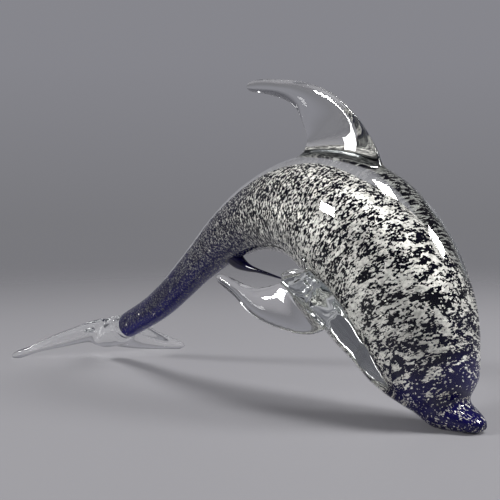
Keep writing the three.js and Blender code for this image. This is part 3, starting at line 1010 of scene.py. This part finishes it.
def flake_tree(material):
    """Nodes that lay torn flakes on a surface, more of them where its flake_share is high."""
    tree = bpy.data.node_groups.new("leaf_flakes", "GeometryNodeTree")
    link = tree.links.new
    tree.interface.new_socket("Geometry", in_out="INPUT", socket_type="NodeSocketGeometry")
    tree.interface.new_socket("Geometry", in_out="OUTPUT", socket_type="NodeSocketGeometry")
    sockets = {
        name: tree.interface.new_socket(name, in_out="INPUT", socket_type=kind).identifier
        for name, kind in (("density", "NodeSocketFloat"), ("size", "NodeSocketFloat"),
                           ("lift", "NodeSocketFloat"), ("seed", "NodeSocketInt"))
    }
    source = tree.nodes.new("NodeGroupInput")
    result = tree.nodes.new("NodeGroupOutput")

    chance = node(tree, "GeometryNodeInputNamedAttribute", Name="flake_share")
    amount = node(tree, "ShaderNodeMath")
    amount.operation = "MULTIPLY"
    link(chance.outputs["Attribute"], amount.inputs[0])
    link(source.outputs["density"], amount.inputs[1])
    spread = node(tree, "GeometryNodeDistributePointsOnFaces")
    link(source.outputs["Geometry"], spread.inputs["Mesh"])
    link(amount.outputs[0], spread.inputs["Density"])
    link(source.outputs["seed"], spread.inputs["Seed"])

    spin = node(tree, "FunctionNodeRandomValue", Max=2 * math.pi)
    link(source.outputs["seed"], spin.inputs["Seed"])
    turn = node(tree, "FunctionNodeAxisAngleToRotation", Axis=(0, 0, 1))
    link(spin.outputs["Value"], turn.inputs["Angle"])
    face = node(tree, "FunctionNodeRotateRotation")
    face.rotation_space = "LOCAL"
    link(spread.outputs["Rotation"], face.inputs["Rotation"])
    link(turn.outputs["Rotation"], face.inputs["Rotate By"])

    shape = node(tree, "GeometryNodeMeshCylinder", Vertices=FLAKE_SIDES, Radius=0.5, Depth=FLAKE_DEPTH)
    shape.fill_type = "NGON"
    stretch = node(tree, "FunctionNodeRandomValue")
    stretch.data_type = "FLOAT_VECTOR"
    stretch.inputs["Min"].default_value = FLAKE_LEAST
    stretch.inputs["Max"].default_value = FLAKE_MOST
    link(source.outputs["seed"], stretch.inputs["Seed"])
    sized = node(tree, "ShaderNodeVectorMath")
    sized.operation = "SCALE"
    link(stretch.outputs["Value"], sized.inputs[0])
    link(source.outputs["size"], sized.inputs["Scale"])
    lay = node(tree, "GeometryNodeInstanceOnPoints")
    link(spread.outputs["Points"], lay.inputs["Points"])
    link(shape.outputs["Mesh"], lay.inputs["Instance"])
    link(face.outputs["Rotation"], lay.inputs["Rotation"])
    link(sized.outputs["Vector"], lay.inputs["Scale"])
    upward = node(tree, "ShaderNodeCombineXYZ")
    link(source.outputs["lift"], upward.inputs["Z"])
    raised = node(tree, "GeometryNodeTranslateInstances")
    link(lay.outputs["Instances"], raised.inputs["Instances"])
    link(upward.outputs["Vector"], raised.inputs["Translation"])
    real = node(tree, "GeometryNodeRealizeInstances")
    link(raised.outputs["Instances"], real.inputs["Geometry"])

    place = node(tree, "GeometryNodeInputPosition")
    ragged = node(tree, "ShaderNodeTexNoise", Scale=1 / TEAR, Detail=0.0)
    link(place.outputs["Position"], ragged.inputs["Vector"])
    centred = node(tree, "ShaderNodeVectorMath")
    centred.operation = "SUBTRACT"
    centred.inputs[1].default_value = (0.5, 0.5, 0.5)
    link(ragged.outputs["Color"], centred.inputs[0])
    torn = node(tree, "ShaderNodeVectorMath")
    torn.operation = "SCALE"
    torn.inputs["Scale"].default_value = TEAR
    link(centred.outputs["Vector"], torn.inputs[0])
    moved = node(tree, "GeometryNodeSetPosition")
    link(real.outputs["Geometry"], moved.inputs["Geometry"])
    link(torn.outputs["Vector"], moved.inputs["Offset"])
    finished = node(tree, "GeometryNodeSetMaterial", Material=material)
    link(moved.outputs["Geometry"], finished.inputs["Geometry"])
    link(finished.outputs["Geometry"], result.inputs["Geometry"])
    return tree, sockets


# Pairs of a share along the spine, which passes 1 on the beak, and how likely flakes are there
FLAKE_CHANCE = np.array([
    (0.0, 0.05), (0.4, 0.05), (0.6, 0.1), (0.8, 0.35),
    (0.9, 0.8), (0.95, 1.0), (1.0, 0.9), (1.08, 0.8),
])
FLAKES_PER_SQUARE_METRE = 1.7e5
FLAKE_SIZE, FLAKE_LIFT, FLAKE_SEED = 0.85 * MM, 0.12 * MM, 7


def scatter_flakes(host, name, material, **settings_by_name):
    along = np.empty(len(host.data.vertices), np.float32)
    host.data.attributes["leaf_along"].data.foreach_get("value", along)
    chance = np.interp(along, FLAKE_CHANCE[:, 0], FLAKE_CHANCE[:, 1])
    share = host.data.attributes.new("flake_share", "FLOAT", "POINT")
    share.data.foreach_set("value", chance.astype(np.float32))
    tree, sockets = flake_tree(material)
    modifier = host.modifiers.new("flakes", "NODES")
    modifier.node_group = tree
    for key, value in settings_by_name.items():
        modifier[sockets[key]] = value
    piece = take_shape(host, name)
    host.modifiers.remove(modifier)
    return piece


silver = scatter_flakes(core, "silver_flakes", flake_silver(), density=FLAKES_PER_SQUARE_METRE,
                        size=FLAKE_SIZE, lift=FLAKE_LIFT, seed=FLAKE_SEED)
print(f"silver leaf: {len(silver.data.polygons)} faces")

# %% [markdown]
# ## Put it together
#
# The clear skin lets lamps through without a shadow, so the leaf under it is lit plainly and the
# core casts the shadow on the floor. Every piece rides on the one body.

# %% Finish and place
for piece, material in ((skin, clear_glass()), (core, leafed_cobalt()), (belly_fin, plain_cobalt())):
    piece.data.materials.clear()
    piece.data.materials.append(material)
skin.visible_shadow = False
skin.visible_diffuse = False

STANDS_FOR = (
    (skin, "clear_glass", ("clear_casing", "chest_keel", "dorsal_fin", "pectoral_fin_right",
                           "pectoral_fin_left", "tail_knuckle", "fluke_right", "fluke_left")),
    (core, "cobalt_glass", ("cobalt_core",)),
    (silver, "silver_leaf", ("silver_leaf",)),
    (belly_fin, "cobalt_glass", ("belly_fin",)),
)
for piece, finish, nodes in STANDS_FOR:
    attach(piece, "root")
    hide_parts(*nodes)
